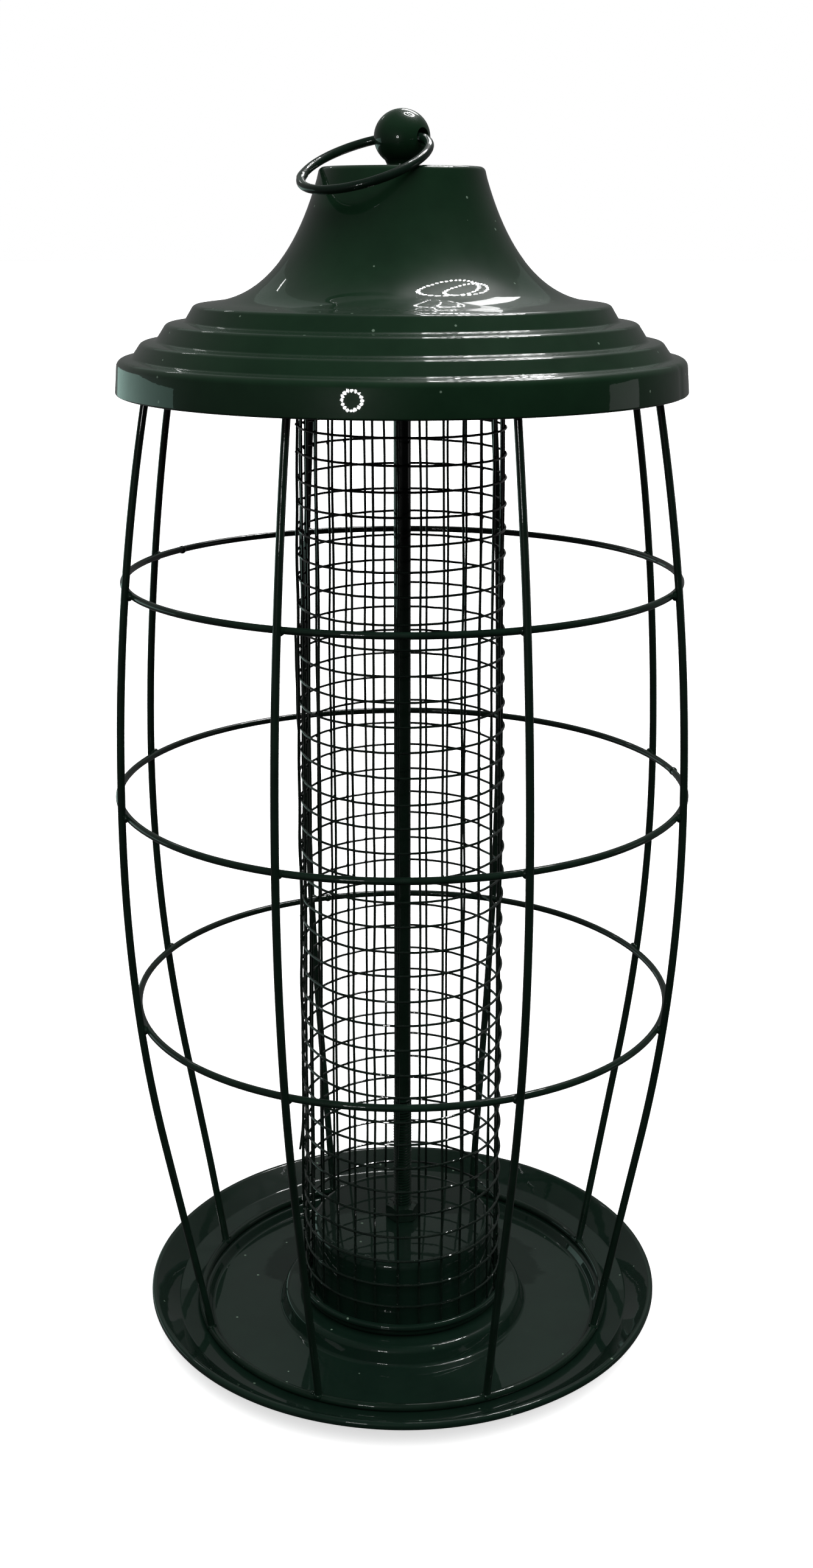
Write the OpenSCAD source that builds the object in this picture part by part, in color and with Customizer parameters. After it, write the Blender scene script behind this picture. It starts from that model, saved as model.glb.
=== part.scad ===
// Caged peanut feeder: a wire mesh tube inside a guard cage of bent wire,
// clamped between a seed tray and a stepped roof by one central tie rod.
// Origin: centre of the tray's underside. +Z up. Millimetres.

/* [Tray] */
// Outer radius of the tray over its rolled edge
tray_r = 70; // [64:0.5:90]
// Height of the tray's rolled edge above its underside
tray_h = 9.2; // [8:0.1:16]
// Thickness of the pressed sheet
sheet_t = 0.8; // [0.6:0.05:1]
// Width of the sloping edge, from the crease to the outside
tray_edge_w = 7.6; // [5:0.1:10]
// Width of the ledge with the step below it, inside the crease
tray_ledge_w = 9.2; // [8:0.1:14]
// Height of the step from the floor to the ledge
tray_step = 2; // [1.6:0.1:3]
// Height of the boss above the floor, room for the nut under it
boss_h = 4.6; // [4.4:0.1:8]

/* [Mesh tube] */
// Outside radius of the mesh tube
tube_r = 27.3; // [22:0.1:30]
// Length of the mesh tube
tube_len = 277; // [220:1:340]
// Wire diameter of the mesh
mesh_wire = 0.65; // [0.5:0.05:1]
// Upright wires round the tube
mesh_uprights = 28; // [20:1:36]
// Distance between the rings of the mesh
mesh_pitch = 6.68; // [5:0.02:9]
// Direction of the lapped seam, degrees from +X
seam_az = 171; // [0:1:359]

/* [Tube base] */
// Height of the plug that stands inside the mesh
plug_h = 19.6; // [12:0.2:30]
// Gap between the plug and the upright wires
plug_gap = 1.1; // [0.3:0.1:2]
// Height of the cup round the foot of the mesh
cup_h = 3.2; // [2.5:0.1:8]

/* [Tie rod] */
// Thread diameter of the rod
rod_d = 5; // [4:1:6]
// Diameter of the smooth shank between the threads
shank_d = 4.5; // [3.4:0.1:5.4]
// Length of the bottom thread
bottom_thread = 61; // [40:1:90]
// Length of the top thread
top_thread = 20; // [12:1:40]

/* [Guard cage] */
// Radius of the cage at its widest, to the middle of the ribs
cage_r = 76.9; // [72:0.1:94]
// Height at which the cage is widest, as a share of the mesh tube's length
cage_mid_share = 0.5226; // [0.4:0.0001:0.6]
// Distance from the widest hoop to the upper hoop
hoop_up = 57.1; // [40:0.1:70]
// Distance from the widest hoop to the lower hoop
hoop_down = 57.7; // [40:0.1:70]
// Number of ribs
ribs = 8; // [6:1:12]
// Wire diameter of the ribs and the bottom ring
rib_wire = 2; // [1.6:0.1:3]
// Wire diameter of the hoops
hoop_wire = 1.8; // [1.4:0.1:3]
// Height over which the ribs bend below the widest hoop
rib_bend_len = 90; // [60:1:100]

/* [Roof] */
// Outside radius of the roof
roof_r = 73.4; // [70:0.1:90]
// Height of the roof
roof_h = 56.6; // [50:0.2:70]
// Radius of the flat top
roof_top_r = 20.9; // [16:0.1:24]
// How far the roof's bottom edge hangs below the top of the mesh
roof_drop = 26.7; // [15:0.1:40]
// Height of the straight band round the roof
band_h = 8.7; // [6:0.1:12]
// Height of the hem folded up inside the band
hem_h = 3; // [2:0.1:5]

/* [Knob and ring] */
// Diameter of the ball knob
ball_d = 14.3; // [12:0.1:20]
// Diameter of the cross hole through the ball
cross_hole_d = 4.5; // [3.6:0.1:6]
// Wire diameter of the hanging ring
ring_wire = 2.3; // [1.8:0.1:3]
// Radius of the hanging ring to the middle of its wire
ring_r = 16.5; // [14:0.1:24]
// Direction of the cross hole, degrees from +X
ring_az = -39.9; // [-90:0.1:90]
// Angle at which the ring leans down onto the roof
ring_lean = 24.4; // [0:0.1:30]

/* [Fits] */
// Gap between pieces that rest on each other
rest_gap = 0.02; // [0.01:0.01:0.1]
// Depth by which welded wires sink into each other
weld_sink = 0.1; // [0.05:0.01:0.3]
// Radial clearance of the rod in a plain hole
hole_gap = 0.3; // [0.1:0.05:0.6]
// Radial clearance of the rod in a tapped hole
thread_gap = 0.05; // [0.02:0.01:0.1]
// Gap between the top of the ribs and the roof that stands on them
roof_gap = 0.3; // [0.2:0.05:0.5]

/* [Hidden] */
$fn = 96;
ARC_STEPS = 6;          // straight pieces in each rounded corner
WIRE_FN = 24;           // sides of a thin wire's section in the preview
MESH_FN = 12;           // sides of the section of the mesh's many rings
BOTTLE_GREEN = "#16241b";
WIRE_GREEN = "#101c15";
BRIGHT_STEEL = "#2b322e";

// Tray heights
tray_crease_r = tray_r - tray_edge_w;
tray_floor_r = tray_crease_r - tray_ledge_w;
boss_r = tube_r + 5.7;
floor_top = sheet_t;
ledge_r = tray_floor_r + 1.2;
ledge_z = floor_top + tray_step;
crease_z = ledge_z + 1.8;
edge_bead_r = 0.9;
boss_top = floor_top + boss_h;

// Mesh tube, from the boss up
cup_floor_z = boss_top + rest_gap + sheet_t;
tube_z0 = cup_floor_z + rest_gap;
tube_z1 = tube_z0 + tube_len;
ring_wire_r = tube_r - mesh_wire / 2;
upright_r = ring_wire_r - mesh_wire + weld_sink;
mesh_rows = floor((tube_len - mesh_wire) / mesh_pitch);
cup_r = tube_r + 0.3;
cup_bead_r = 0.8;
plug_r = upright_r - mesh_wire / 2 - plug_gap;
plug_top = boss_top + rest_gap + plug_h;

// Fasteners for the rod's thread, sized as shares of its diameter as the standards are
nut_af = rod_d * 1.6;
nut_m = rod_d * 0.8;
thin_nut_m = rod_d * 0.54;
washer_r = rod_d;
washer_t = rod_d * 0.2;
hole_r = rod_d / 2 + hole_gap;
nut_turn = 8;           // how far the upper nut happens to be turned

// Roof, from the mesh up
roof_z = tube_z1 - roof_drop;
band_z = roof_z + band_h;
roof_top = roof_z + roof_h;

// Cage: a bottom ring on the ledge, and ribs bent out from it and back in under the roof's lowest step
hoop_inset = (rib_wire + hoop_wire) / 2 - weld_sink;
cage_mid_z = tube_z0 + cage_mid_share * tube_len;
ledge_slope = atan2(crease_z - ledge_z, tray_crease_r - ledge_r);
bottom_ring_r = tray_crease_r - 6.4;
bottom_ring_z = ledge_z + (bottom_ring_r - ledge_r) * tan(ledge_slope)
    + (rib_wire / 2 + rest_gap) / cos(ledge_slope);
rib_bottom_z = bottom_ring_z + rib_wire / 2 - 0.3;
rib_top_z = band_z + 1.25 - roof_gap;
rib_top_r = roof_r - 7.05;
rib_bend_up = (pow(cage_r - rib_top_r, 2) + pow(rib_top_z - cage_mid_z, 2)) / (2 * (cage_r - rib_top_r));
splice = 0.01;          // how much fatter a rib's straight foot is, so its face stays apart from the bend's

// Half the foot's angle, as its tangent, for a rib that goes in by `inward` over the height dz
function foot_tan(inward, dz, t = 0, n = 8) =
    n == 0 ? t
        : foot_tan(inward, dz, inward / (rib_bend_len + 2 * (dz - rib_bend_len) / (1 - t * t)), n - 1);

bend_down_a = 2 * atan(foot_tan(cage_r - bottom_ring_r, cage_mid_z - rib_bottom_z));
rib_bend_down = rib_bend_len / sin(bend_down_a);
function rib_r_up(dz) = cage_r - rib_bend_up + sqrt(rib_bend_up * rib_bend_up - dz * dz);
function rib_r_down(dz) = dz <= rib_bend_len
    ? cage_r - rib_bend_down + sqrt(rib_bend_down * rib_bend_down - dz * dz)
    : cage_r - rib_bend_down * (1 - cos(bend_down_a)) - (dz - rib_bend_len) * tan(bend_down_a);
top_ring_z = rib_top_z - 2 * hoop_wire;

// Knob and ring
ball_r = ball_d / 2;
ball_lift = 0.13;       // how far the ball itself stands clear of the roof on its foot
ball_foot_r = hole_r + 1.1;
ball_z = roof_top + rest_gap + ball_lift + ball_r;
cross_hole_r = cross_hole_d / 2;
tapped_top = ball_z - cross_hole_r - 0.6;
rod_top = tapped_top - 0.2;
rod_bottom = 0.5;
ring_offset = 0.74;     // how far the ring's wire lies off the cross hole's axis, inside the ball

// Outlines -----------------------------------------------------------------

function unit(v) = v / norm(v);

// Points of an arc round c from angle a0 to a1
function arc(c, r, a0, a1, n = ARC_STEPS) =
    [for (i = [0:n]) c + r * [cos(a0 + (a1 - a0) * i / n), sin(a0 + (a1 - a0) * i / n)]];

// Arc of radius r that rounds the corner b between a and c
function corner(a, b, c, r) =
    let (u = unit(a - b), w = unit(c - b), half = acos(u * w) / 2,
         m = b + unit(u + w) * r / sin(half),
         s = b + u * r / tan(half) - m, e = b + w * r / tan(half) - m,
         a0 = atan2(s.y, s.x), d = atan2(s.x * e.y - s.y * e.x, s * e))
    arc(m, r, a0, a0 + d);

// Path [[x, y, corner radius], ...] with its corners rounded
function rounded(p) =
    let (q = [for (v = p) [v.x, v.y]], last = len(p) - 1)
    [for (i = [0:last]) each p[i].z == 0 ? [q[i]] : corner(q[i - 1], q[i], q[i + 1], p[i].z)];

// Curve from a to c pulled towards b
function flare(a, b, c, n = 18) =
    [for (i = [0:n]) let (t = i / n) (1 - t) * (1 - t) * a + 2 * t * (1 - t) * b + t * t * c];

// Path moved sideways by t, to the right of its direction
function beside(p, t) =
    let (last = len(p) - 1)
    [for (i = [0:last])
        let (u = unit(p[min(i + 1, last)] - p[max(i, 1)]), w = unit(p[max(i, 1)] - p[max(i - 1, 0)]),
             f = i == last ? w : unit(p[i + 1] - p[i]), m = unit(f + w))
        p[i] + t / (m * f) * [m.y, -m.x]];

function reversed(p) = [for (i = [len(p) - 1:-1:0]) p[i]];

// Sheet with a rolled bead of radius r at the end of its top path, rising there at angle a
function beaded_sheet(top, r, a) =
    let (end = top[len(top) - 1], c = end + r * [sin(a), -cos(a)],
         meet = asin((r - sheet_t) / r))
    concat(top, arc(c, r, a + 90, a - 180 - meet, 20), reversed(beside(top, sheet_t)));

module lathe(outline) rotate_extrude() polygon(outline);

// Closed wire ring
module wire_ring(r, wire, sides = WIRE_FN) rotate_extrude() translate([r, 0]) circle(d = wire, $fn = sides);

// Ring with a square section between two radii
module flat_ring(r_in, r_out, h)
    difference() {
        cylinder(r = r_out, h = h);
        translate([0, 0, -1]) cylinder(r = r_in, h = h + 2);
    }

module hex_nut(af, m)
    difference() {
        cylinder(d = af / cos(30), h = m, $fn = 6);
        translate([0, 0, -1]) cylinder(r = rod_d / 2 + thread_gap, h = m + 2);
    }

// Pieces -------------------------------------------------------------------

// Pressed dish: boss, floor, step, ledge and sloping edge with a rolled bead
module tray() {
    edge = [tray_r - edge_bead_r, tray_h - edge_bead_r];
    slope = atan2(edge.y - crease_z, edge.x - tray_crease_r) + 6;
    bead_top = edge + edge_bead_r * [-sin(slope), cos(slope)];
    top = rounded([
        [hole_r, boss_top, 0],
        [boss_r, boss_top, 1.8],
        [boss_r + 1.1, floor_top, 1],
        [tray_floor_r, floor_top, 1],
        [ledge_r, ledge_z, 1],
        [tray_crease_r, crease_z, 2],
        [bead_top.x, bead_top.y, 0]]);
    last = len(top) - 1;
    run = atan2(top[last].y - top[last - 1].y, top[last].x - top[last - 1].x);
    color(BOTTLE_GREEN) lathe(beaded_sheet(top, edge_bead_r, run));
}

module tray_washer()
    color(BRIGHT_STEEL)
        translate([0, 0, boss_top - sheet_t - rest_gap - washer_t]) flat_ring(hole_r, washer_r, washer_t);

module tray_nut()
    color(BRIGHT_STEEL)
        translate([0, 0, boss_top - sheet_t - 2 * rest_gap - washer_t - thin_nut_m])
            hex_nut(nut_af, thin_nut_m);

// Rod with its thread at each end as plain round lengths
module tie_rod() {
    top_z = rod_top - top_thread;
    color(WIRE_GREEN) {
        translate([0, 0, rod_bottom]) cylinder(d = rod_d, h = bottom_thread);
        translate([0, 0, rod_bottom + bottom_thread])
            cylinder(d = shank_d, h = top_z - rod_bottom - bottom_thread);
        translate([0, 0, top_z]) cylinder(d = rod_d, h = top_thread);
    }
}

// Plug that centres the mesh, with the beaded cup round its foot
module tube_base() {
    top = rounded([
        [hole_r, plug_top, 0],
        [plug_r, plug_top, 2],
        [plug_r, cup_floor_z, 1],
        [cup_r, cup_floor_z, 0.6],
        [cup_r, boss_top + cup_h, 0]]);
    color(BOTTLE_GREEN) lathe(beaded_sheet(top, cup_bead_r, 90));
}

module base_nut()
    color(BRIGHT_STEEL)
        translate([0, 0, plug_top + rest_gap]) rotate([0, 0, nut_turn]) hex_nut(nut_af, nut_m);

module mesh_upright_wires()
    color(WIRE_GREEN)
        for (i = [0:mesh_uprights - 1])
            rotate([0, 0, seam_az + (i + 0.5) * 360 / mesh_uprights]) translate([upright_r, 0, tube_z0])
                cylinder(d = mesh_wire, h = tube_len, $fn = WIRE_FN);

module mesh_ring_wires()
    color(WIRE_GREEN)
        for (i = [0:mesh_rows - 1])
            translate([0, 0, tube_z0 + mesh_wire + i * mesh_pitch])
                wire_ring(ring_wire_r, mesh_wire, MESH_FN);

// Outer uprights of the lap, standing on the rings above the cup's bead
module mesh_seam_wires() {
    z0 = boss_top + cup_h + cup_bead_r + 0.3;
    color(WIRE_GREEN)
        for (a = [-3.2, 1.9, 5.4])
            rotate([0, 0, seam_az + a]) translate([ring_wire_r + mesh_wire - weld_sink, 0, z0])
                cylinder(d = mesh_wire, h = tube_z1 - z0 - 6, $fn = WIRE_FN);
}

// Channel pressed over the raw top edge of the mesh
module tube_top_collar() {
    wall = 0.5;
    inner = upright_r - mesh_wire / 2 - 0.15 - wall;
    outer = tube_r + 0.15 + wall;
    lip = 4;
    color(BOTTLE_GREEN)
        translate([0, 0, tube_z1 + 0.1 - lip])
            lathe([[inner, 0], [inner + wall, 0], [inner + wall, lip], [outer - wall, lip],
                   [outer - wall, 0], [outer, 0], [outer, lip + wall], [inner, lip + wall]]);
}

module cage_hoop(r, z, wire) color(WIRE_GREEN) translate([0, 0, z]) wire_ring(r, wire);

module cage_bottom_ring() cage_hoop(bottom_ring_r, bottom_ring_z, rib_wire);
module cage_lower_hoop() cage_hoop(rib_r_down(hoop_down) - hoop_inset, cage_mid_z - hoop_down, hoop_wire);
module cage_middle_hoop() cage_hoop(cage_r - hoop_inset, cage_mid_z, hoop_wire);
module cage_upper_hoop() cage_hoop(rib_r_up(hoop_up) - hoop_inset, cage_mid_z + hoop_up, hoop_wire);
module cage_top_ring() cage_hoop(rib_r_up(top_ring_z - cage_mid_z) - hoop_inset, top_ring_z, hoop_wire);

// Arc of rib wire that starts upright at the cage's widest point
module rib_arc(bend, angle)
    translate([cage_r - bend, 0, cage_mid_z]) rotate([90, 0, 0])
        rotate_extrude(angle = angle, $fn = 360) translate([bend, 0]) circle(d = rib_wire, $fn = WIRE_FN);

// One bent rib with a straight foot; the ribs are numbered round the cage
module cage_rib(i) {
    foot = (cage_mid_z - rib_bend_len - rib_bottom_z) / cos(bend_down_a);
    knee = [rib_r_down(rib_bend_len), 0, cage_mid_z - rib_bend_len];
    color(WIRE_GREEN)
        rotate([0, 0, (i - 0.5) * 360 / ribs]) {
            rib_arc(rib_bend_up, asin((rib_top_z - cage_mid_z) / rib_bend_up));
            rib_arc(rib_bend_down, -bend_down_a);
            translate(knee) rotate([0, bend_down_a, 0]) translate([0, 0, -foot])
                cylinder(r = rib_wire / 2 + splice, h = foot + 0.5, $fn = WIRE_FN);
        }
}

// Stepped bell: flat top, flared neck, three rounded steps, straight band with a folded hem
module roof() {
    neck = [roof_top_r + 0.7, roof_top - 3];
    eaves = [roof_r - 25.9, roof_z + band_h + 14.2];
    top = rounded([
        [hole_r, roof_top, 0],
        [roof_top_r, roof_top, 1.8],
        [neck.x, neck.y, 0]]);
    curve = flare(neck, [roof_top_r + 8.9, eaves.y + 2.7], eaves);
    steps = rounded([
        [eaves.x, eaves.y, 0],
        [roof_r - 20.2, band_z + 13.5, 1.5],
        [roof_r - 17.8, band_z + 9.4, 1],
        [roof_r - 13.2, band_z + 8.9, 1.5],
        [roof_r - 10.5, band_z + 4.6, 1],
        [roof_r - 6.8, band_z + 4.2, 1.5],
        [roof_r - 4.3, band_z + 0.5, 1],
        [roof_r - 0.6, band_z, 2.2],
        [roof_r, roof_z, 0]]);
    outside = concat(top, [for (i = [1:len(curve) - 2]) curve[i]], steps);
    hem = [[roof_r - 2 * sheet_t, roof_z], [roof_r - 2 * sheet_t - 0.1, roof_z + hem_h],
           [roof_r - sheet_t - 0.1, roof_z + hem_h]];
    inside = beside(outside, sheet_t);
    color(BOTTLE_GREEN) lathe(concat(outside, hem, reversed([for (i = [0:len(inside) - 2]) inside[i]])));
}

// Ball with a flat foot, tapped from below and cross-drilled for the ring
module ball_knob()
    color(BOTTLE_GREEN)
        translate([0, 0, ball_z])
            difference() {
                union() {
                    sphere(r = ball_r);
                    translate([0, 0, -ball_lift - ball_r]) cylinder(r = ball_foot_r, h = ball_r / 2);
                }
                translate([0, 0, -2 * ball_r])
                    cylinder(r = rod_d / 2 + thread_gap, h = tapped_top - ball_z + 2 * ball_r);
                rotate([90, 0, ring_az + 90]) cylinder(r = cross_hole_r, h = 3 * ball_r, center = true);
            }

// Ring through the ball, leaning down on the edge of the roof
module hanging_ring()
    color(WIRE_GREEN)
        translate([0, 0, ball_z]) rotate([0, ring_lean, ring_az - 90])
            translate([ring_r - ring_offset, 0, 0]) wire_ring(ring_r, ring_wire);

tray();
tray_washer();
tray_nut();
tie_rod();
tube_base();
base_nut();
mesh_upright_wires();
mesh_ring_wires();
mesh_seam_wires();
tube_top_collar();
cage_bottom_ring();
cage_lower_hoop();
cage_middle_hoop();
cage_upper_hoop();
cage_top_ring();
for (i = [1:ribs]) cage_rib(i);
roof();
ball_knob();
hanging_ring();
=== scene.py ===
import math
import random

import bmesh
import bpy
from mathutils import Matrix, Vector, noise


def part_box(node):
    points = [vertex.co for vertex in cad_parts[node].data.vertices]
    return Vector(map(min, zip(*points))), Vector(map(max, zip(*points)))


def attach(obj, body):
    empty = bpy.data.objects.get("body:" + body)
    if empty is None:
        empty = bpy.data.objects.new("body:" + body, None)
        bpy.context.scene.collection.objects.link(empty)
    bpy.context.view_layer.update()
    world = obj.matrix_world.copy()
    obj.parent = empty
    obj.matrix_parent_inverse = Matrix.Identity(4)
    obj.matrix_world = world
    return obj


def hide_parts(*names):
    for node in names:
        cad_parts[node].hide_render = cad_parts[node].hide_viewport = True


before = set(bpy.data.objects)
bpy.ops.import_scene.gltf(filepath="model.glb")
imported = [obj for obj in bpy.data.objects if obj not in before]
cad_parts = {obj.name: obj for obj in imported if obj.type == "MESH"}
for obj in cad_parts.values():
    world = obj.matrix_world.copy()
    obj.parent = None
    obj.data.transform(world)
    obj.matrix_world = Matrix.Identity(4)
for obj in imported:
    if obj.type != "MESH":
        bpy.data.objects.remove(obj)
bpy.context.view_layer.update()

MM = 0.001
TURN = 2 * math.pi
rng = random.Random(7)


# Places taken from the frame -------------------------------------------------

def low(node):
    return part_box(node)[0]


def high(node):
    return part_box(node)[1]


TRAY_R, TRAY_TOP = high("tray")[0], high("tray")[2]
ROOF_R, ROOF_Z, ROOF_TOP = high("roof")[0], low("roof")[2], high("roof")[2]
TUBE_Z0, TUBE_Z1 = low("mesh_upright_wires")[2], high("mesh_upright_wires")[2]
MESH_R = high("mesh_ring_wires")[0]
BOSS_TOP = low("tube_base")[2] - 0.02 * MM
PLUG_TOP = high("tube_base")[2]
BALL_R = high("ball_knob")[0]
BALL_Z = high("ball_knob")[2] - BALL_R
ROD_TOP, ROD_BOTTOM = high("tie_rod")[2], low("tie_rod")[2]

SHEET = 0.8 * MM
MESH_WIRE = 0.65 * MM
MESH_PITCH = 6.68 * MM
UPRIGHTS = 28
SEAM = math.radians(171)
RIB_WIRE = 2 * MM
HOOP_WIRE = 1.8 * MM
RIBS = 8
RING_AZ = math.radians(-39.9)
RING_LEAN = math.radians(24.4)
RING_R = 16.5 * MM
RING_OFFSET = 0.74 * MM
RING_WIRE = 2.3 * MM
HOOPS = ("cage_lower_hoop", "cage_middle_hoop", "cage_upper_hoop")


# Materials -------------------------------------------------------------------

def link(tree, a, b):
    tree.links.new(a, b)


def enamel(name, deep, light, gloss, wave, dust, scale=1.0):
    """Sprayed enamel: clouded colour, dust nibs, slow waves and orange peel under a clear gloss."""
    mat = bpy.data.materials.new(name)
    mat.use_nodes = True
    tree = mat.node_tree
    shader = tree.nodes["Principled BSDF"]
    coords = tree.nodes.new("ShaderNodeTexCoord").outputs["Object"]

    def noise_node(size, detail, rough=0.5):
        n = tree.nodes.new("ShaderNodeTexNoise")
        n.inputs["Scale"].default_value = size * scale
        n.inputs["Detail"].default_value = detail
        n.inputs["Roughness"].default_value = rough
        link(tree, coords, n.inputs["Vector"])
        return n.outputs["Fac"]

    cloud = tree.nodes.new("ShaderNodeValToRGB")
    cloud.color_ramp.elements[0].position, cloud.color_ramp.elements[1].position = 0.3, 0.72
    cloud.color_ramp.elements[0].color = (*deep, 1)
    cloud.color_ramp.elements[1].color = (*light, 1)
    link(tree, noise_node(70, 4, 0.6), cloud.inputs["Fac"])

    cells = tree.nodes.new("ShaderNodeTexVoronoi")
    cells.inputs["Scale"].default_value = 260 * scale
    link(tree, coords, cells.inputs["Vector"])
    near = tree.nodes.new("ShaderNodeMath")
    near.operation = "LESS_THAN"
    near.inputs[1].default_value = 0.09
    link(tree, cells.outputs["Distance"], near.inputs[0])
    split = tree.nodes.new("ShaderNodeSeparateColor")
    link(tree, cells.outputs["Color"], split.inputs["Color"])
    few = tree.nodes.new("ShaderNodeMath")
    few.operation = "LESS_THAN"
    few.inputs[1].default_value = dust
    link(tree, split.outputs["Red"], few.inputs[0])
    nib = tree.nodes.new("ShaderNodeMath")
    nib.operation = "MULTIPLY"
    link(tree, near.outputs[0], nib.inputs[0])
    link(tree, few.outputs[0], nib.inputs[1])
    mix = tree.nodes.new("ShaderNodeMix")
    mix.data_type = "RGBA"
    link(tree, nib.outputs[0], mix.inputs["Factor"])
    link(tree, cloud.outputs["Color"], mix.inputs[6])
    mix.inputs[7].default_value = (0.11, 0.16, 0.12, 1)
    link(tree, mix.outputs[2], shader.inputs["Base Color"])

    rough = tree.nodes.new("ShaderNodeMapRange")
    rough.inputs["To Min"].default_value = gloss
    rough.inputs["To Max"].default_value = gloss + 0.16
    link(tree, noise_node(160, 3), rough.inputs["Value"])
    link(tree, rough.outputs["Result"], shader.inputs["Roughness"])

    peel = tree.nodes.new("ShaderNodeBump")
    peel.inputs["Strength"].default_value = 1.0
    peel.inputs["Distance"].default_value = 0.0035 * MM
    link(tree, noise_node(900, 2), peel.inputs["Height"])
    waves = tree.nodes.new("ShaderNodeBump")
    waves.inputs["Strength"].default_value = 1.0
    waves.inputs["Distance"].default_value = wave
    link(tree, noise_node(95, 1), waves.inputs["Height"])
    link(tree, peel.outputs["Normal"], waves.inputs["Normal"])
    grit = tree.nodes.new("ShaderNodeBump")
    grit.inputs["Strength"].default_value = 0.7
    grit.inputs["Distance"].default_value = 0.05 * MM
    link(tree, nib.outputs[0], grit.inputs["Height"])
    link(tree, waves.outputs["Normal"], grit.inputs["Normal"])
    link(tree, grit.outputs["Normal"], shader.inputs["Normal"])

    shader.inputs["Specular IOR Level"].default_value = 0.06
    shader.inputs["Coat Weight"].default_value = 0.8
    shader.inputs["Coat Roughness"].default_value = 0.02
    shader.inputs["Coat IOR"].default_value = 1.5
    link(tree, waves.outputs["Normal"], shader.inputs["Coat Normal"])
    return mat


SHEET_PAINT = enamel("bottle_green_sheet", (0.0042, 0.0160, 0.0072), (0.0062, 0.022, 0.0100), 0.3, 0.045 * MM, 0.3)
TRAY_PAINT = enamel("bottle_green_tray", (0.0034, 0.0100, 0.0066), (0.0046, 0.0135, 0.0086), 0.28, 0.06 * MM, 0.2)
WIRE_PAINT = enamel("dark_green_wire", (0.003, 0.008, 0.005), (0.005, 0.0135, 0.0085), 0.28, 0.02 * MM, 0.05, 1.6)
MESH_PAINT = enamel("dark_green_mesh", (0.0025, 0.0055, 0.004), (0.0055, 0.011, 0.0075), 0.32, 0.01 * MM, 0.1, 2.5)
NUT_PAINT = enamel("dark_green_fastener", (0.004, 0.010, 0.0065), (0.008, 0.017, 0.012), 0.3, 0.015 * MM, 0.1, 2.0)


# Shaping ---------------------------------------------------------------------

def chain(bm, path):
    """Run of edges through (radius, height, corner radius) in the plane y = 0, its corners rounded."""
    at = [Vector((x, 0, z)) for x, z, _ in path]
    verts = [bm.verts.new(p) for p in at]
    for pair in zip(verts, verts[1:]):
        bm.edges.new(pair)
    for i in range(1, len(path) - 1):
        bend = path[i][2]
        if bend:
            half = (at[i - 1] - at[i]).angle(at[i + 1] - at[i]) / 2
            bmesh.ops.bevel(bm, geom=[verts[i]], offset=bend / math.tan(half), offset_type="OFFSET",
                            segments=6, profile=0.5, material=-1, affect="VERTICES")
    return bm.verts[:] + bm.edges[:]


def spin_round(bm, geom, steps):
    bmesh.ops.spin(bm, geom=geom, cent=(0, 0, 0), axis=(0, 0, 1), angle=TURN, steps=steps, use_merge=True)


def sheet_lathe(path, thickness, steps=224):
    """Pressed sheet turned round Z: the path is its top face, from the middle outwards."""
    bm = bmesh.new()
    spin_round(bm, chain(bm, path), steps)
    bmesh.ops.remove_doubles(bm, verts=bm.verts, dist=1e-7)
    bmesh.ops.recalc_face_normals(bm, faces=bm.faces)
    if sum(f.normal.z * f.calc_area() for f in bm.faces) < 0:
        bmesh.ops.reverse_faces(bm, faces=bm.faces)
    bmesh.ops.solidify(bm, geom=bm.faces[:], thickness=thickness)
    return bm


def section(bm, wire, sides, place):
    made = bmesh.ops.create_circle(bm, cap_ends=False, segments=sides, radius=wire / 2, matrix=place)["verts"]
    return made + list({e for v in made for e in v.link_edges})


def sweep(bm, geom, centre, axis, angle, steps):
    out = bmesh.ops.spin(bm, geom=geom, cent=centre, axis=axis, angle=angle, steps=steps, use_merge=False)
    return out["geom_last"]


def draw_out(bm, geom, along, steps):
    """Pulls a section along a straight line."""
    out = bmesh.ops.spin(bm, geom=geom, cent=(0, 0, 0), axis=(0, 0, 1), angle=0, dvec=along / steps,
                         steps=steps, use_merge=False)
    return out["geom_last"]


def gather(bm, part):
    """Moves a small shape, already made, into a larger one."""
    scratch = bpy.data.meshes.new("part")
    part.to_mesh(scratch)
    part.free()
    bm.from_mesh(scratch)
    bpy.data.meshes.remove(scratch)


def close(bm):
    """Caps open ends and turns every face outwards."""
    bmesh.ops.remove_doubles(bm, verts=bm.verts, dist=1e-7)
    bmesh.ops.holes_fill(bm, edges=[e for e in bm.edges if e.is_boundary], sides=0)
    bmesh.ops.recalc_face_normals(bm, faces=bm.faces)


def wire_hoop(bm, radius, z, wire, segments, sides):
    flat = Matrix.Translation((radius, 0, z)) @ Matrix.Rotation(math.pi / 2, 4, "X")
    geom = section(bm, wire, sides, flat)
    spin_round(bm, geom, segments)
    return geom


def wander(verts, amount, size, seed):
    """Moves vertices a little by smooth noise, as hand-bent wire strays."""
    for v in verts:
        v.co += noise.noise_vector(v.co / size + Vector((seed, 0, 0))) * amount


def blob(bm, place, size, level=2, turn=0):
    """Small rounded bead of weld, turned with its place about the middle line."""
    bmesh.ops.create_icosphere(bm, subdivisions=level, radius=1, matrix=Matrix.Rotation(turn, 4, "Z")
                               @ Matrix.Translation(place) @ Matrix.Diagonal((*size, 1)))


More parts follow.
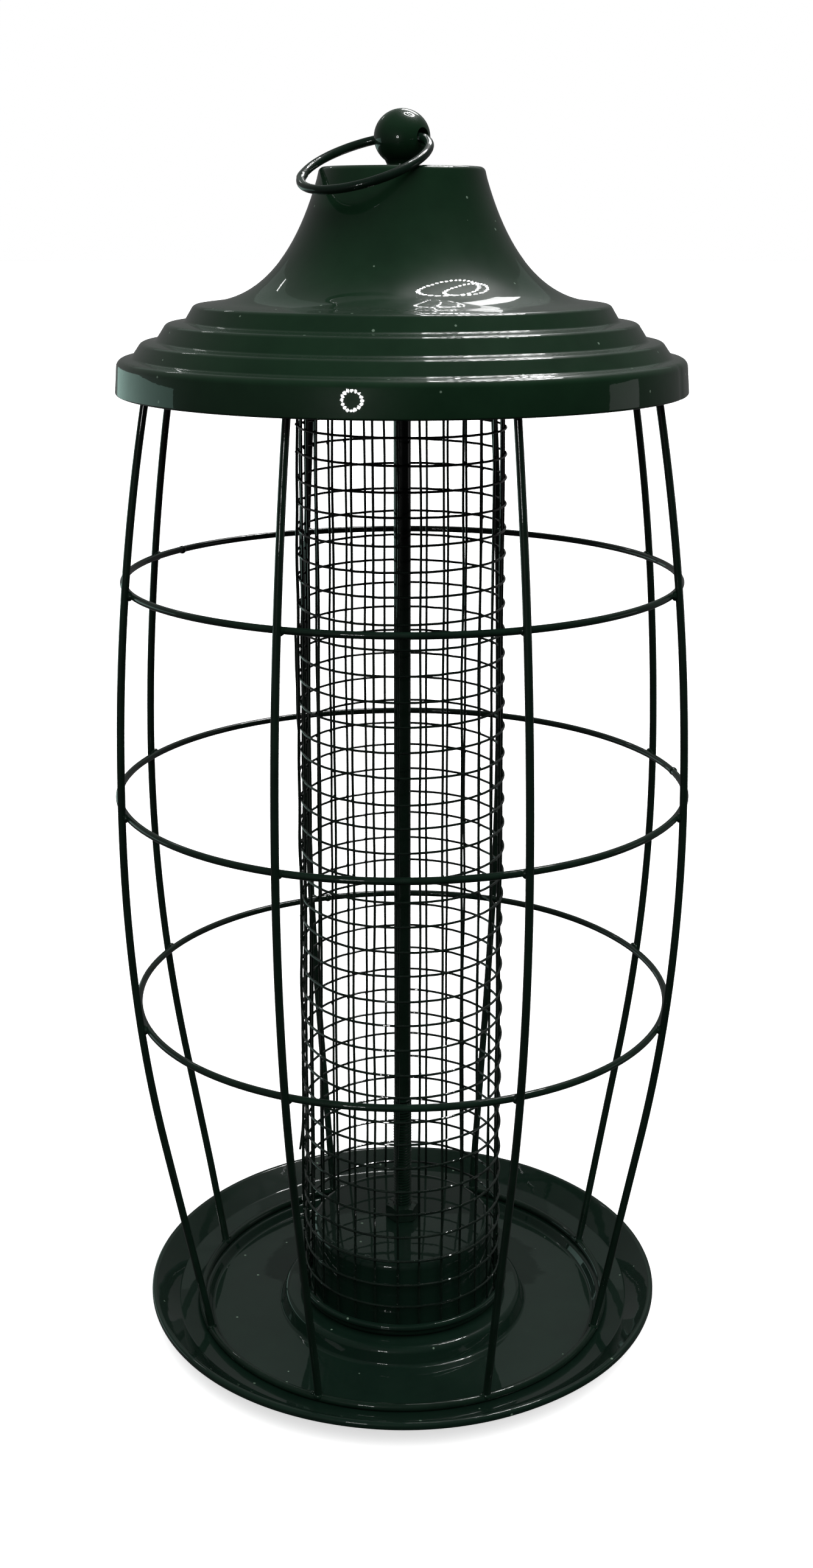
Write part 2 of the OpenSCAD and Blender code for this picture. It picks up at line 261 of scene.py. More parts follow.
def piece(name, bm, paint, body, nodes, sharp=math.radians(38)):
    """Makes the finished object, riding on its body and standing for its nodes."""
    mesh = bpy.data.meshes.new(name)
    bm.normal_update()
    for f in bm.faces:
        f.smooth = True
    for e in bm.edges:
        if len(e.link_faces) == 2 and e.calc_face_angle() > sharp:
            e.smooth = False
    bm.to_mesh(mesh)
    bm.free()
    mesh.materials.append(paint)
    obj = bpy.data.objects.new(name, mesh)
    bpy.context.scene.collection.objects.link(obj)
    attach(obj, body)
    if nodes:
        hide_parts(*nodes)
    return obj


# Tray and the foot of the tube -----------------------------------------------

def make_tray():
    crease, edge = TRAY_R - 7.6 * MM, TRAY_R - 0.9 * MM
    floor_r = crease - 9.2 * MM
    ledge_z = 2.8 * MM
    bead = 0.88 * MM
    path = [(2.8 * MM, BOSS_TOP, 0), (32.9 * MM, BOSS_TOP, 1.8 * MM), (34.0 * MM, SHEET, 1.0 * MM),
            (floor_r, SHEET, 1.0 * MM), (floor_r + 1.2 * MM, ledge_z, 1.0 * MM),
            (crease, ledge_z + 1.8 * MM, 1.6 * MM), (edge - 0.45 * MM, TRAY_TOP - 0.02 * MM, 0.8 * MM),
            (edge + 0.9 * bead, TRAY_TOP - 0.05 * MM, 0.75 * MM), (edge + 0.9 * bead, TRAY_TOP - 1.85 * MM, 0.75 * MM),
            (edge - 0.5 * MM, TRAY_TOP - 2.0 * MM, 0)]
    bm = sheet_lathe(path, 0.66 * MM, 256)
    for v in bm.verts:
        v.co.z = max(v.co.z + noise.noise(v.co * 28) * 0.12 * MM * min(1, v.co.xy.length / TRAY_R), 0)
    piece("tray_dish", bm, TRAY_PAINT, "feeder", ["tray"])


def make_tube_base():
    plug_r, cup_r = 25.0 * MM, MESH_R + 0.3 * MM
    floor_z = BOSS_TOP + 0.02 * MM + SHEET
    bead_z = BOSS_TOP + 3.2 * MM
    path = [(2.8 * MM, PLUG_TOP, 0), (plug_r, PLUG_TOP, 2 * MM), (plug_r, floor_z, 0.8 * MM),
            (cup_r, floor_z, 0.6 * MM), (cup_r, bead_z + 0.7 * MM, 0.5 * MM),
            (cup_r + 1.5 * MM, bead_z + 0.7 * MM, 0.7 * MM), (cup_r + 1.5 * MM, bead_z - 0.8 * MM, 0.6 * MM),
            (cup_r + 0.65 * MM, bead_z - 0.85 * MM, 0)]
    piece("tube_foot", sheet_lathe(path, 0.6 * MM, 192), TRAY_PAINT, "feeder", ["tube_base"])


# Mesh tube -------------------------------------------------------------------

def make_mesh():
    ring_r = MESH_R - MESH_WIRE / 2
    upright_r = ring_r - MESH_WIRE + 0.1 * MM
    rows = math.floor((TUBE_Z1 - TUBE_Z0 - MESH_WIRE) / MESH_PITCH)
    levels = [TUBE_Z0 + MESH_WIRE + i * MESH_PITCH for i in range(rows)]
    angles = [SEAM + (i + 0.5) * TURN / UPRIGHTS + rng.uniform(-0.012, 0.012) for i in range(UPRIGHTS)]

    def stray(a, z):
        """How far the mesh at this angle and height strays along and round the tube."""
        p = Vector((math.cos(a) * 1.6, math.sin(a) * 1.6, z * 30))
        return noise.noise(p) * 0.35 * MM, noise.noise(p + Vector((9, 4, 2))) * 0.45 * MM

    def settle(verts, fixed=TUBE_Z0 + 4 * MM):
        for v in verts:
            a = math.atan2(v.co.y, v.co.x)
            ease = min(1, max(0, (v.co.z - fixed) / (20 * MM)), max(0, (TUBE_Z1 - 3 * MM - v.co.z) / (20 * MM)))
            out, side = (s * ease for s in stray(a, v.co.z))
            round_by = Vector((-math.sin(a), math.cos(a), 0))
            v.co += round_by * side + Vector((math.cos(a), math.sin(a), 0)) * min(out, 0.25 * MM)

    bm = bmesh.new()
    for a in angles:
        wire = bmesh.new()
        place = Matrix.Translation((math.cos(a) * upright_r, math.sin(a) * upright_r, TUBE_Z0))
        draw_out(wire, section(wire, MESH_WIRE, 8, place), Vector((0, 0, TUBE_Z1 - TUBE_Z0)), 90)
        gather(bm, wire)
    close(bm)
    settle(bm.verts)
    piece("mesh_uprights", bm, MESH_PAINT, "feeder", ["mesh_upright_wires"])

    bm = bmesh.new()
    for z in levels:
        wire = bmesh.new()
        wire_hoop(wire, ring_r, z, MESH_WIRE, 112, 8)
        tilt, turn = rng.uniform(0.1, 0.5) * MM, rng.uniform(0, TURN)
        fixed = z < TUBE_Z0 + 3 * MM
        for v in wire.verts if not fixed else ():
            a = math.atan2(v.co.y, v.co.x)
            v.co.z += tilt * math.sin(a - turn) + 0.09 * MM * math.sin(UPRIGHTS * (a - SEAM)) * noise.noise(v.co * 40)
        gather(bm, wire)
    bmesh.ops.remove_doubles(bm, verts=bm.verts, dist=1e-8)
    bmesh.ops.recalc_face_normals(bm, faces=bm.faces)
    settle(bm.verts)
    piece("mesh_rings", bm, MESH_PAINT, "feeder", ["mesh_ring_wires"])

    bm = bmesh.new()
    for z in levels:
        row = bmesh.new()
        for a in angles:
            blob(row, ((ring_r + upright_r) / 2, 0, z), (0.42 * MM, 0.42 * MM, 0.46 * MM), 1, a)
        gather(bm, row)
    settle(bm.verts)
    piece("mesh_weld_points", bm, MESH_PAINT, "feeder", [])
    make_seam(ring_r, levels, settle)


def make_seam(ring_r, levels, settle):
    """Lap of the mesh: three outer uprights, one of them sprung loose, and the rings' cut ends."""
    lap_r = ring_r + MESH_WIRE - 0.1 * MM
    z0, z1 = levels[0] + 3 * MM, TUBE_Z1 - 6 * MM
    bm = bmesh.new()
    for offset, start, end in ((-3.2, z0, z1), (5.4, z0, z1), (9.2, z0 + 20 * MM, z1 - 3 * MM)):
        a = SEAM + math.radians(offset)
        wire = bmesh.new()
        place = Matrix.Translation((math.cos(a) * lap_r, math.sin(a) * lap_r, start))
        draw_out(wire, section(wire, MESH_WIRE, 8, place), Vector((0, 0, end - start)), 80)
        gather(bm, wire)
    close(bm)
    wander(bm.verts, 0.45 * MM, 18 * MM, 3)

    loose = bmesh.new()
    start, end = 43 * MM, 191 * MM
    a = SEAM + math.radians(1.0)
    place = Matrix.Translation((math.cos(a) * (lap_r + 0.5 * MM), math.sin(a) * (lap_r + 0.5 * MM), start))
    draw_out(loose, section(loose, MESH_WIRE, 8, place), Vector((0, 0, end - start)), 70)
    close(loose)
    out = Vector((math.cos(a), math.sin(a), 0))
    for v in loose.verts:
        t = (v.co.z - start) / (end - start)
        spring = 0.75 * MM * max(0, (t - 0.72) / 0.28) + 1.0 * MM * max(0, 1 - t / 0.05)
        v.co += out * (spring + noise.noise(Vector((0, 0, v.co.z * 90))) * 0.35 * MM)
    gather(bm, loose)

    for z in levels[2:-1]:
        a0, a1 = SEAM - math.radians(rng.uniform(4, 7)), SEAM + math.radians(rng.uniform(2, 12))
        place = (Matrix.Rotation(a0, 4, "Z") @ Matrix.Translation((lap_r, 0, z + rng.uniform(-0.5, 0.9) * MM))
                 @ Matrix.Rotation(math.pi / 2, 4, "X"))
        end = bmesh.new()
        sweep(end, section(end, MESH_WIRE, 8, place), (0, 0, 0), (0, 0, 1), a1 - a0, 6)
        gather(bm, end)
    close(bm)
    piece("mesh_seam", bm, MESH_PAINT, "feeder", ["mesh_seam_wires"])


def make_top_channel():
    inner, outer = low("tube_top_collar"), high("tube_top_collar")
    r1, z1, z0 = outer[0], outer[2], inner[2]
    r0 = r1 - 2.6 * MM
    path = [(r0 + 0.02 * MM, z0, 0), (r0 + 0.02 * MM, z1, 0.5 * MM), (r1, z1, 0.5 * MM), (r1, z0, 0)]
    piece("mesh_top_channel", sheet_lathe(path, 0.45 * MM, 160), TRAY_PAINT, "feeder", ["tube_top_collar"])


# Tie rod and fasteners -------------------------------------------------------

def thread(bm, z0, z1, core_r, crest_r, pitch):
    """Ridge of a right-hand thread wound on the core."""
    turns = int((z1 - z0) / pitch) - 1
    root = [(core_r - 0.1 * MM, 0), (core_r - 0.1 * MM, pitch * 0.94), (crest_r, pitch * 0.56), (crest_r, pitch * 0.38)]
    steps = 26
    for turn in range(turns):
        part = bmesh.new()
        verts = [part.verts.new((r, 0, z0 + z + turn * pitch)) for r, z in root]
        edges = [part.edges.new(p) for p in zip(verts, verts[1:] + verts[:1])]
        bmesh.ops.spin(part, geom=verts + edges, cent=(0, 0, 0), axis=(0, 0, 1), angle=TURN,
                       dvec=(0, 0, pitch / steps), steps=steps, use_merge=False)
        gather(bm, part)


def round_bar(bm, r, z0, z1, sides=40, chamfer=0):
    """Closed cylinder, its ends chamfered where asked."""
    path = [(0, z0, 0), (r - chamfer, z0, 0), (r, z0 + chamfer, 0), (r, z1 - chamfer, 0), (r - chamfer, z1, 0), (0, z1, 0)]
    if not chamfer:
        path = [(0, z0, 0), (r, z0, 0), (r, z1, 0), (0, z1, 0)]
    part = bmesh.new()
    spin_round(part, chain(part, path), sides)
    bmesh.ops.remove_doubles(part, verts=part.verts, dist=1e-7)
    gather(bm, part)


def make_rod():
    crest, core, shank = 2.5 * MM, 2.1 * MM, 2.25 * MM
    low_end, high_end = ROD_BOTTOM + 61 * MM, ROD_TOP - 20 * MM
    bm = bmesh.new()
    round_bar(bm, core, ROD_BOTTOM, low_end, chamfer=0.4 * MM)
    round_bar(bm, shank, low_end - 0.4 * MM, high_end + 0.4 * MM, chamfer=0.15 * MM)
    round_bar(bm, core, high_end, ROD_TOP, chamfer=0.4 * MM)
    thread(bm, ROD_BOTTOM + 0.3 * MM, low_end, core, crest, 0.8 * MM)
    thread(bm, high_end, ROD_TOP - 0.3 * MM, core, crest, 0.8 * MM)
    close(bm)
    piece("threaded_tie_rod", bm, WIRE_PAINT, "feeder", ["tie_rod"], math.radians(30))


def make_nut(name, node):
    lo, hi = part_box(node)
    bore, across = 2.56 * MM, (hi[0] - lo[0]) / 2
    turn = math.radians(8) if node == "base_nut" else 0
    corner = 8 * MM / 2 / math.cos(math.pi / 6)
    bm = bmesh.new()
    geom = bmesh.ops.create_circle(bm, cap_ends=False, segments=6, radius=corner,
                                   matrix=Matrix.Translation((0, 0, lo[2])) @ Matrix.Rotation(turn + math.pi / 2, 4, "Z"))
    outer = list({e for v in geom["verts"] for e in v.link_edges})
    bmesh.ops.subdivide_edges(bm, edges=outer, cuts=7)
    outer = bm.edges[:]
    hole = bmesh.ops.create_circle(bm, cap_ends=False, segments=48, radius=bore,
                                   matrix=Matrix.Translation((0, 0, lo[2])) @ Matrix.Rotation(turn + math.pi / 2, 4, "Z"))
    inner = list({e for v in hole["verts"] for e in v.link_edges})
    bmesh.ops.bridge_loops(bm, edges=outer + inner)
    grown = bmesh.ops.extrude_face_region(bm, geom=bm.faces[:])
    tops = [g for g in grown["geom"] if isinstance(g, bmesh.types.BMVert)]
    bmesh.ops.translate(bm, verts=tops, vec=(0, 0, hi[2] - lo[2]))
    flat = 3.85 * MM
    for v in bm.verts:
        r = v.co.xy.length
        if r > flat:
            drop = (r - flat) * 0.58
            v.co.z += drop if v.co.z < (lo[2] + hi[2]) / 2 else -drop
    bmesh.ops.recalc_face_normals(bm, faces=bm.faces)
    piece(name, bm, NUT_PAINT, "feeder", [node], math.radians(25))


def make_washer():
    lo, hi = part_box("tray_washer")
    bm = bmesh.new()
    path = [(2.8 * MM, hi[2], 0), (5.0 * MM, hi[2], 0.15 * MM), (5.0 * MM, lo[2], 0.15 * MM), (2.8 * MM, lo[2], 0)]
    geom = chain(bm, path)
    spin_round(bm, geom, 64)
    close_bore = [e for e in bm.edges if e.is_boundary]
    bmesh.ops.bridge_loops(bm, edges=close_bore)
    bmesh.ops.recalc_face_normals(bm, faces=bm.faces)
    piece("washer_under_tray", bm, NUT_PAINT, "feeder", ["tray_washer"])


# Guard cage ------------------------------------------------------------------

def make_cage():
    mid_z = (low("cage_middle_hoop")[2] + high("cage_middle_hoop")[2]) / 2
    widest = high("cage_middle_hoop")[0] - HOOP_WIRE / 2 + (RIB_WIRE + HOOP_WIRE) / 2 - 0.1 * MM
    top_z = high("cage_rib_1")[2] - 0.1 * MM
    top_r = ROOF_R - 7.05 * MM
    foot_r = high("cage_bottom_ring")[0] - RIB_WIRE / 2
    foot_z = high("cage_bottom_ring")[2] - 0.3 * MM
    bend_h = 90 * MM
    up_r = ((widest - top_r) ** 2 + (top_z - mid_z) ** 2) / (2 * (widest - top_r))
    t, rise = 0, mid_z - foot_z
    for _ in range(8):
        t = (widest - foot_r) / (bend_h + 2 * (rise - bend_h) / (1 - t * t))
    slope = 2 * math.atan(t)
    down_r = bend_h / math.sin(slope)

    def rib_radius(z):
        if z >= mid_z:
            return widest - up_r + math.sqrt(up_r ** 2 - (z - mid_z) ** 2)
        d = mid_z - z
        if d <= bend_h:
            return widest - down_r + math.sqrt(down_r ** 2 - d ** 2)
        return widest - down_r * (1 - math.cos(slope)) - (d - bend_h) * math.tan(slope)

    angles = [(i + 0.5) * TURN / RIBS for i in range(RIBS)]
    for i, a in enumerate(angles):
        bm = bmesh.new()
        start = section(bm, RIB_WIRE, 16, Matrix.Translation((widest, 0, mid_z)))
        sweep(bm, start, (widest - up_r, 0, mid_z), (0, -1, 0), math.asin((top_z - mid_z) / up_r), 26)
        knee = sweep(bm, start, (widest - down_r, 0, mid_z), (0, 1, 0), slope, 22)
        foot = (rise - bend_h) / math.cos(slope)
        draw_out(bm, knee, Vector((-math.sin(slope), 0, -math.cos(slope))) * foot, 14)
        close(bm)
        for v in bm.verts:
            ends = min(1, (v.co.z - foot_z) / (25 * MM), (top_z - v.co.z) / (25 * MM))
            v.co += noise.noise_vector(Vector((i * 7.3, 0, v.co.z * 14))) * 0.3 * MM * max(0, ends)
        bmesh.ops.transform(bm, matrix=Matrix.Rotation(a, 4, "Z"), verts=bm.verts)
        number = {round(math.degrees(a), 1): n for n, a in enumerate(angles, 1)}[round(math.degrees(a), 1)]
        piece("rib_%d" % number, bm, WIRE_PAINT, "feeder", ["cage_rib_%d" % number])

    def hoop(name, node, wire, seed, weld_at):
        lo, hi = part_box(node)
        z, r = (lo[2] + hi[2]) / 2, hi[0] - wire / 2
        bm = bmesh.new()
        wire_hoop(bm, r, z, wire, 160, 14)
        bmesh.ops.remove_doubles(bm, verts=bm.verts, dist=1e-8)
        bmesh.ops.recalc_face_normals(bm, faces=bm.faces)
        if weld_at is not None:
            for v in bm.verts:
                a = math.atan2(v.co.y, v.co.x)
                v.co.z += noise.noise(Vector((math.cos(a) * 1.1, math.sin(a) * 1.1, seed))) * 0.45 * MM
            swell = Vector((math.cos(weld_at), math.sin(weld_at), 0)) * r
            blob(bm, swell + Vector((0, 0, z)), (1.15 * MM,) * 3, 3)
        piece(name, bm, WIRE_PAINT, "feeder", [node])
        return r, z

    welds = bmesh.new()
    for n, node in enumerate(HOOPS):
        r, z = hoop(("lower", "middle", "upper")[n] + "_hoop", node, HOOP_WIRE, n * 5.1, (1.9, 0.15, 2.6)[n])
        for a in angles:
            between = rib_radius(z) - RIB_WIRE / 2
            blob(welds, (between, 0, z), (0.85 * MM, 1.5 * MM, 1.3 * MM), 3, a)
    r, z = hoop("bottom_ring", "cage_bottom_ring", RIB_WIRE, 0, None)
    for a in angles:
        blob(welds, (math.cos(a) * r, math.sin(a) * r, z + 0.55 * MM), (1.35 * MM, 1.35 * MM, 1.0 * MM), 3)
        b = a + rng.choice((-1, 1)) * 0.028
        blob(welds, (math.cos(b) * r, math.sin(b) * r, z + 0.75 * MM), (0.75 * MM, 0.75 * MM, 0.6 * MM), 2)
    r, z = hoop("top_ring", "cage_top_ring", HOOP_WIRE, 0, None)
    for a in angles:
        between = rib_radius(z) - RIB_WIRE / 2
        blob(welds, (math.cos(a) * between, math.sin(a) * between, z), (1.1 * MM, 1.1 * MM, 1.2 * MM), 2)
    piece("cage_welds", welds, WIRE_PAINT, "feeder", [])


# Roof, knob and ring ---------------------------------------------------------

def make_roof():
    band_z = ROOF_Z + 8.7 * MM
    neck = Vector((21.6 * MM, 0, ROOF_TOP - 3 * MM))
    pull = Vector((29.8 * MM, 0, ROOF_Z + 25.6 * MM))
    eaves = Vector((ROOF_R - 25.9 * MM, 0, ROOF_Z + 22.9 * MM))
    flare = [(1 - t) ** 2 * neck + 2 * t * (1 - t) * pull + t * t * eaves for t in (i / 22 for i in range(22))]
    path = [(2.8 * MM, ROOF_TOP, 0), (20.9 * MM, ROOF_TOP, 1.5 * MM)]
    path += [(p.x, p.z, 0) for p in flare]
    for back, up, bend in ((25.9, 14.2, 0), (20.2, 13.5, 1.5), (17.8, 9.4, 1.0), (13.2, 8.9, 1.5), (10.5, 4.6, 1.0),
                           (6.8, 4.2, 1.5), (4.3, 0.5, 1.0), (0.6, 0, 1.9)):
        path.append((ROOF_R - back * MM, band_z + up * MM, bend * MM))
    path += [(ROOF_R - 0.02 * MM, ROOF_Z + 0.02 * MM, 0.55 * MM), (ROOF_R - 1.5 * MM, ROOF_Z + 0.02 * MM, 0.5 * MM),
             (ROOF_R - 1.6 * MM, ROOF_Z + 3 * MM, 0)]
    bm = sheet_lathe(path, 0.62 * MM, 288)
    dent = math.radians(-21)
    for v in bm.verts:
        a = math.atan2(v.co.y, v.co.x)
        r = v.co.xy.length
        share = min(1, r / ROOF_R)
        out = noise.noise(v.co * 22) * 0.16 * MM * share
        if v.co.z < band_z + 0.5 * MM and r > ROOF_R - 3 * MM:
            out -= 0.22 * MM * math.exp(-((a - dent) / 0.012) ** 2)
        out = min(out, ROOF_R - r)
        v.co += Vector((math.cos(a), math.sin(a), 0)) * out
    piece("roof_bell", bm, SHEET_PAINT, "roof", ["roof"])


def make_knob():
    ball = bmesh.new()
    bmesh.ops.create_uvsphere(ball, u_segments=96, v_segments=64, radius=BALL_R,
                              matrix=Matrix.Translation((0, 0, BALL_Z)))
    mesh = bpy.data.meshes.new("knob_ball")
    ball.to_mesh(mesh)
    ball.free()
    obj = bpy.data.objects.new("knob_ball", mesh)
    bpy.context.scene.collection.objects.link(obj)
    cutters = []
    foot = bmesh.new()
    z0, z1 = low("ball_knob")[2], BALL_Z - 5.0 * MM
    path = [(0, z0, 0), (3.9 * MM, z0, 0.25 * MM), (3.9 * MM, z0 + 0.7 * MM, 0.5 * MM), (4.7 * MM, z1, 0), (0, z1, 0)]
    spin_round(foot, chain(foot, path), 72)
    bmesh.ops.remove_doubles(foot, verts=foot.verts, dist=1e-7)
    bmesh.ops.recalc_face_normals(foot, faces=foot.faces)
    across = bmesh.new()
    hole = (Matrix.Translation((0, 0, BALL_Z)) @ Matrix.Rotation(RING_AZ + math.pi / 2, 4, "Z")
            @ Matrix.Rotation(math.pi / 2, 4, "X"))
    bmesh.ops.create_cone(across, cap_ends=True, segments=64, radius1=2.25 * MM, radius2=2.25 * MM, depth=3 * BALL_R,
                          matrix=hole)
    tapped = bmesh.new()
    top = ROD_TOP + 0.2 * MM
    bmesh.ops.create_cone(tapped, cap_ends=True, segments=48, radius1=2.55 * MM, radius2=2.55 * MM, depth=8 * MM,
                          matrix=Matrix.Translation((0, 0, top - 4 * MM)))
    for name, part, how in (("foot", foot, "UNION"), ("cross", across, "DIFFERENCE"), ("tap", tapped, "DIFFERENCE")):
        cut_mesh = bpy.data.meshes.new(name)
        part.to_mesh(cut_mesh)
        part.free()
        cutter = bpy.data.objects.new(name, cut_mesh)
        bpy.context.scene.collection.objects.link(cutter)
        mod = obj.modifiers.new(name, "BOOLEAN")
        mod.operation, mod.object, mod.solver = how, cutter, "EXACT"
        cutters.append(cutter)
    rim = obj.modifiers.new("rim", "BEVEL")
    rim.width, rim.segments, rim.limit_method, rim.angle_limit = 0.28 * MM, 3, "ANGLE", math.radians(40)
    depsgraph = bpy.context.evaluated_depsgraph_get()
    done = bmesh.new()
    done.from_mesh(bpy.data.meshes.new_from_object(obj.evaluated_get(depsgraph)))
    for c in cutters + [obj]:
        bpy.data.objects.remove(c, do_unlink=True)
    piece("ball_knob_turned", done, SHEET_PAINT, "knob", ["ball_knob"], math.radians(30))


def make_ring():
    bm = bmesh.new()
    wire_hoop(bm, RING_R, 0, RING_WIRE, 144, 20)
    bmesh.ops.remove_doubles(bm, verts=bm.verts, dist=1e-8)
    bmesh.ops.recalc_face_normals(bm, faces=bm.faces)
    weld = math.radians(-62)
    for v in bm.verts:
        a = math.atan2(v.co.y, v.co.x)
        along = (a - weld) / 0.11
        core = Vector((math.cos(a), math.sin(a), 0)) * RING_R
        lump = 0.16 * math.exp(-along ** 4) * (0.4 + noise.noise(v.co * 900)) + 0.012 * noise.noise(v.co * 500)
        lump += 0.1 * math.exp(-((a - math.radians(150)) / 0.03) ** 2)
        v.co = core + (v.co - core) * (1 + lump)
    place = (Matrix.Translation((0, 0, BALL_Z)) @ Matrix.Rotation(RING_AZ - math.pi / 2, 4, "Z")
             @ Matrix.Rotation(RING_LEAN, 4, "Y") @ Matrix.Translation((RING_R - RING_OFFSET, 0, 0)))
    bmesh.ops.transform(bm, matrix=place, verts=bm.verts)
    piece("hanging_ring_wire", bm, WIRE_PAINT, "ring", ["hanging_ring"])


make_tray()
make_tube_base()
make_mesh()
make_top_channel()
make_rod()
make_nut("nut_on_plug", "base_nut")
make_nut("nut_under_tray", "tray_nut")
make_washer()
make_cage()
make_roof()
make_knob()
make_ring()


# Studio ----------------------------------------------------------------------

def make_camera():
    data = bpy.data.cameras.new("camera")
    data.sensor_fit, data.sensor_width, data.sensor_height = "AUTO", 36, 36
    data.lens = 43.0
    data.shift_y = -0.145
    data.clip_start, data.clip_end = 0.01, 50
    cam = bpy.data.objects.new("camera", data)
    cam.location = (0, -0.4836, 0.3014)
    cam.rotation_euler = (math.pi / 2 - math.radians(10.37), 0, -0.0023)
    bpy.context.scene.collection.objects.link(cam)
    bpy.context.scene.camera = cam


def make_floor():
    bm = bmesh.new()
    bmesh.ops.create_circle(bm, cap_ends=True, segments=64, radius=12)
    mesh = bpy.data.meshes.new("floor")
    bm.to_mesh(mesh)
    bm.free()
    floor = bpy.data.objects.new("floor", mesh)
    floor.location.z = -0.02 * MM
    bpy.context.scene.collection.objects.link(floor)
    mat = bpy.data.materials.new("pale_floor")
    mat.use_nodes = True
    tree = mat.node_tree
    shader = tree.nodes["Principled BSDF"]
    shader.inputs["Base Color"].default_value = (0.86, 0.86, 0.86, 1)
    shader.inputs["Roughness"].default_value = 1
    shader.inputs["Specular IOR Level"].default_value = 0
    shader.inputs["Emission Color"].default_value = (1, 1, 1, 1)
    shader.inputs["Emission Strength"].default_value = 0.62
    floor.data.materials.append(mat)
    floor.visible_glossy = False
    floor.visible_diffuse = False


def make_room():
    """Pale room: bright behind and at the left, dim on the camera's side."""
    world = bpy.data.worlds.new("room")
    bpy.context.scene.world = world
    world.use_nodes = True
    tree = world.node_tree
    back = tree.nodes["Background"]
    way = tree.nodes.new("ShaderNodeTexCoord").outputs["Generated"]
    split = tree.nodes.new("ShaderNodeSeparateXYZ")
    link(tree, way, split.inputs[0])

    def ramp(value, a, b, lo, hi):
        m = tree.nodes.new("ShaderNodeMapRange")
        m.interpolation_type = "SMOOTHSTEP"
        for key, number in (("From Min", a), ("From Max", b), ("To Min", lo), ("To Max", hi)):
            m.inputs[key].default_value = number
        link(tree, value, m.inputs["Value"])
        return m.outputs["Result"]

    def combine(op, x, y):
        n = tree.nodes.new("ShaderNodeMath")
        n.operation = op
        link(tree, x, n.inputs[0])
        link(tree, y, n.inputs[1])
        return n.outputs[0]

    behind = ramp(split.outputs["Y"], -0.15, 0.8, 0.025, 0.13)
    left = ramp(split.outputs["X"], 0.2, -1.0, 0.0, 0.05)
    above = ramp(split.outputs["Z"], 0.35, 1.0, 0.0, 0.03)
    below = ramp(split.outputs["Z"], -0.5, -0.02, 0.55, 1.0)
    level = combine("MULTIPLY", combine("ADD", combine("ADD", behind, left), above), below)
    seen = tree.nodes.new("ShaderNodeLightPath").outputs["Is Camera Ray"]
    pick = tree.nodes.new("ShaderNodeMix")
    link(tree, seen, pick.inputs[0])
    link(tree, level, pick.inputs[2])
    pick.inputs[3].default_value = 1.0
    link(tree, pick.outputs[0], back.inputs["Strength"])
    back.inputs["Color"].default_value = (1, 1, 1, 1)


AIM = Vector((0, 0, 0.2))


def direction(azimuth, elevation):
    """Unit vector; azimuth 0 is towards the camera and grows to the right."""
    a, e = math.radians(azimuth), math.radians(elevation)
    return Vector((math.sin(a) * math.cos(e), -math.cos(a) * math.cos(e), math.sin(e)))


def softbox(name, azimuth, elevation, distance, width, height, power, aim=AIM, tint=(1, 1, 1), glint=False):
    data = bpy.data.lights.new(name, "AREA")
    data.shape, data.size, data.size_y, data.energy, data.color = "RECTANGLE", width, height, power, tint
    lamp = bpy.data.objects.new(name, data)
    way = direction(azimuth, elevation)
    lamp.location = aim + way * distance
    lamp.rotation_euler = way.to_track_quat("Z", "Y").to_euler()
    lamp.visible_diffuse = not glint
    bpy.context.scene.collection.objects.link(lamp)


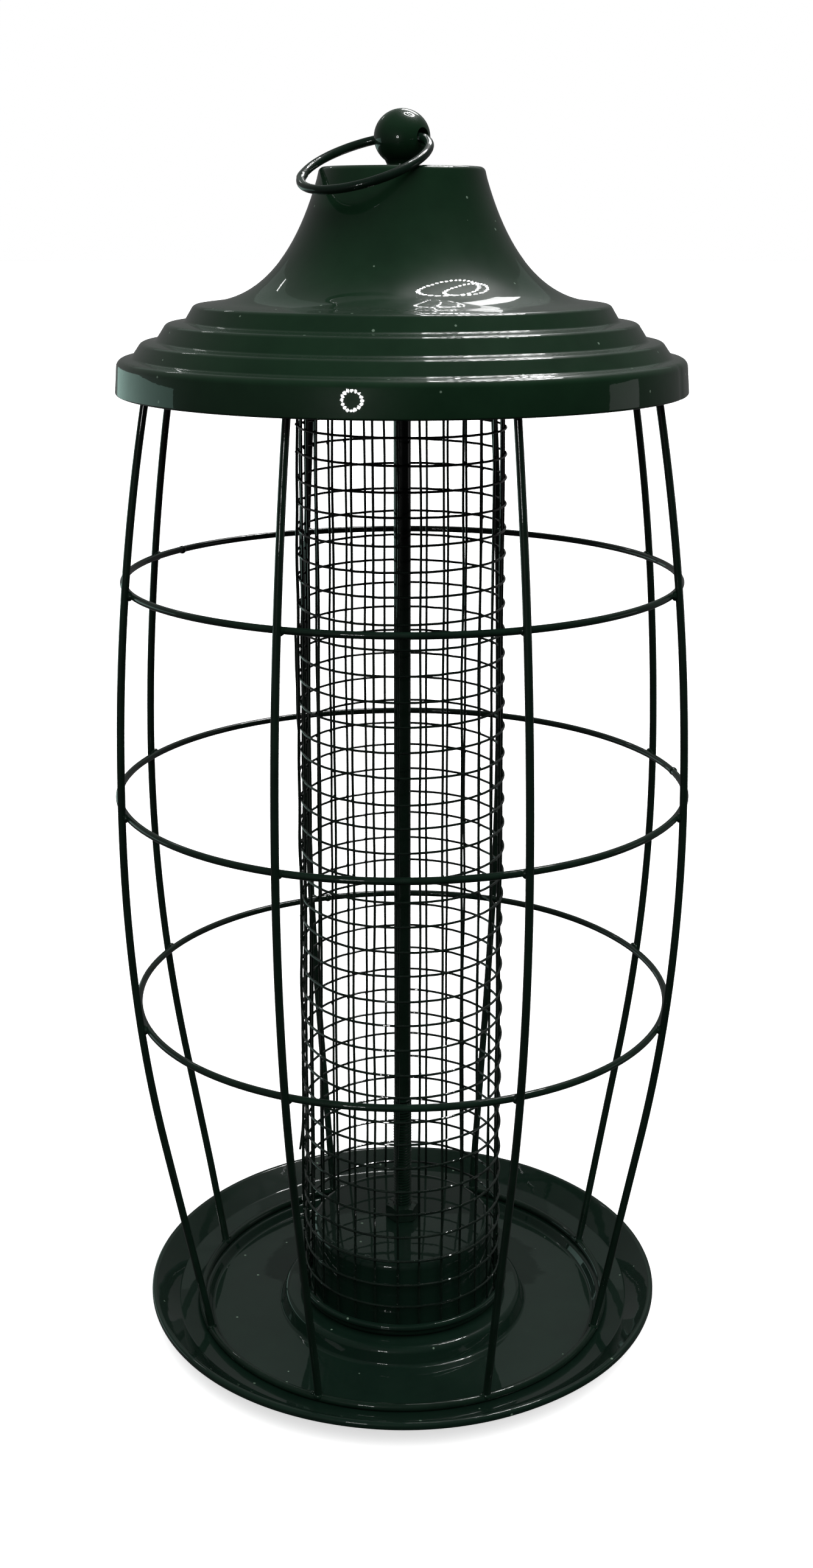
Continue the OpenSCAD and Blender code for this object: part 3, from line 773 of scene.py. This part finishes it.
def ring_lamp(name, azimuth, elevation, distance, radius, beads, bead_r, power, aim):
    """Ring of small round lamps that shows only in the gloss."""
    way = direction(azimuth, elevation)
    turn = way.to_track_quat("Z", "Y").to_matrix().to_4x4()
    bm = bmesh.new()
    for i in range(beads):
        a = TURN * i / beads
        place = (Matrix.Translation(aim + way * distance) @ turn
                 @ Matrix.Translation((radius * math.cos(a), radius * math.sin(a), 0)))
        bmesh.ops.create_icosphere(bm, subdivisions=2, radius=bead_r, matrix=place)
    mesh = bpy.data.meshes.new(name)
    bm.to_mesh(mesh)
    bm.free()
    mat = bpy.data.materials.new(name)
    mat.use_nodes = True
    shader = mat.node_tree.nodes["Principled BSDF"]
    shader.inputs["Base Color"].default_value = (0, 0, 0, 1)
    shader.inputs["Emission Color"].default_value = (1, 1, 1, 1)
    shader.inputs["Emission Strength"].default_value = power
    mesh.materials.append(mat)
    lamp = bpy.data.objects.new(name, mesh)
    bpy.context.scene.collection.objects.link(lamp)
    lamp.visible_camera = False
    lamp.visible_diffuse = False
    lamp.visible_shadow = False


def soft_daylight(strength):
    """Broad light from above that reaches the paint's colour but leaves no glint."""
    data = bpy.data.lights.new("soft_daylight", "SUN")
    data.energy, data.angle = strength, math.radians(75)
    lamp = bpy.data.objects.new("soft_daylight", data)
    lamp.rotation_euler = (math.radians(24), math.radians(7), 0)
    lamp.visible_glossy = False
    bpy.context.scene.collection.objects.link(lamp)


make_camera()
make_floor()
make_room()
soft_daylight(4.2)
BALL_AT = Vector((0, 0, BALL_Z))
softbox("left_window", -148, 36, 0.9, 0.12, 0.014, 0.035, glint=True)
softbox("left_low", -126, -4, 1.2, 1.3, 0.34, 0.95, tint=(0.6, 1.0, 0.88))
softbox("right_door", 93, 0, 1.0, 0.3, 0.24, 0.1)
softbox("back_wall", 180, 33, 1.5, 1.7, 0.5, 0.3, tint=(0.75, 1.0, 0.88))
softbox("behind_ball", 166, 37, 0.35, 0.14, 0.07, 0.22, BALL_AT, glint=True)
ring_lamp("ceiling_ring", 138, 67, 0.9, 0.17, 30, 0.0115, 90, Vector((0, 0, 0.28)))
ring_lamp("ceiling_inner_ring", 140, 60, 0.9, 0.12, 24, 0.0105, 90, Vector((0, 0, 0.28)))
ring_lamp("desk_ring", -18, 4, 0.7, 0.046, 16, 0.008, 45, Vector((0, 0, 0.262)))

bpy.context.scene.view_settings.view_transform = "Standard"
bpy.context.scene.view_settings.look = "None"
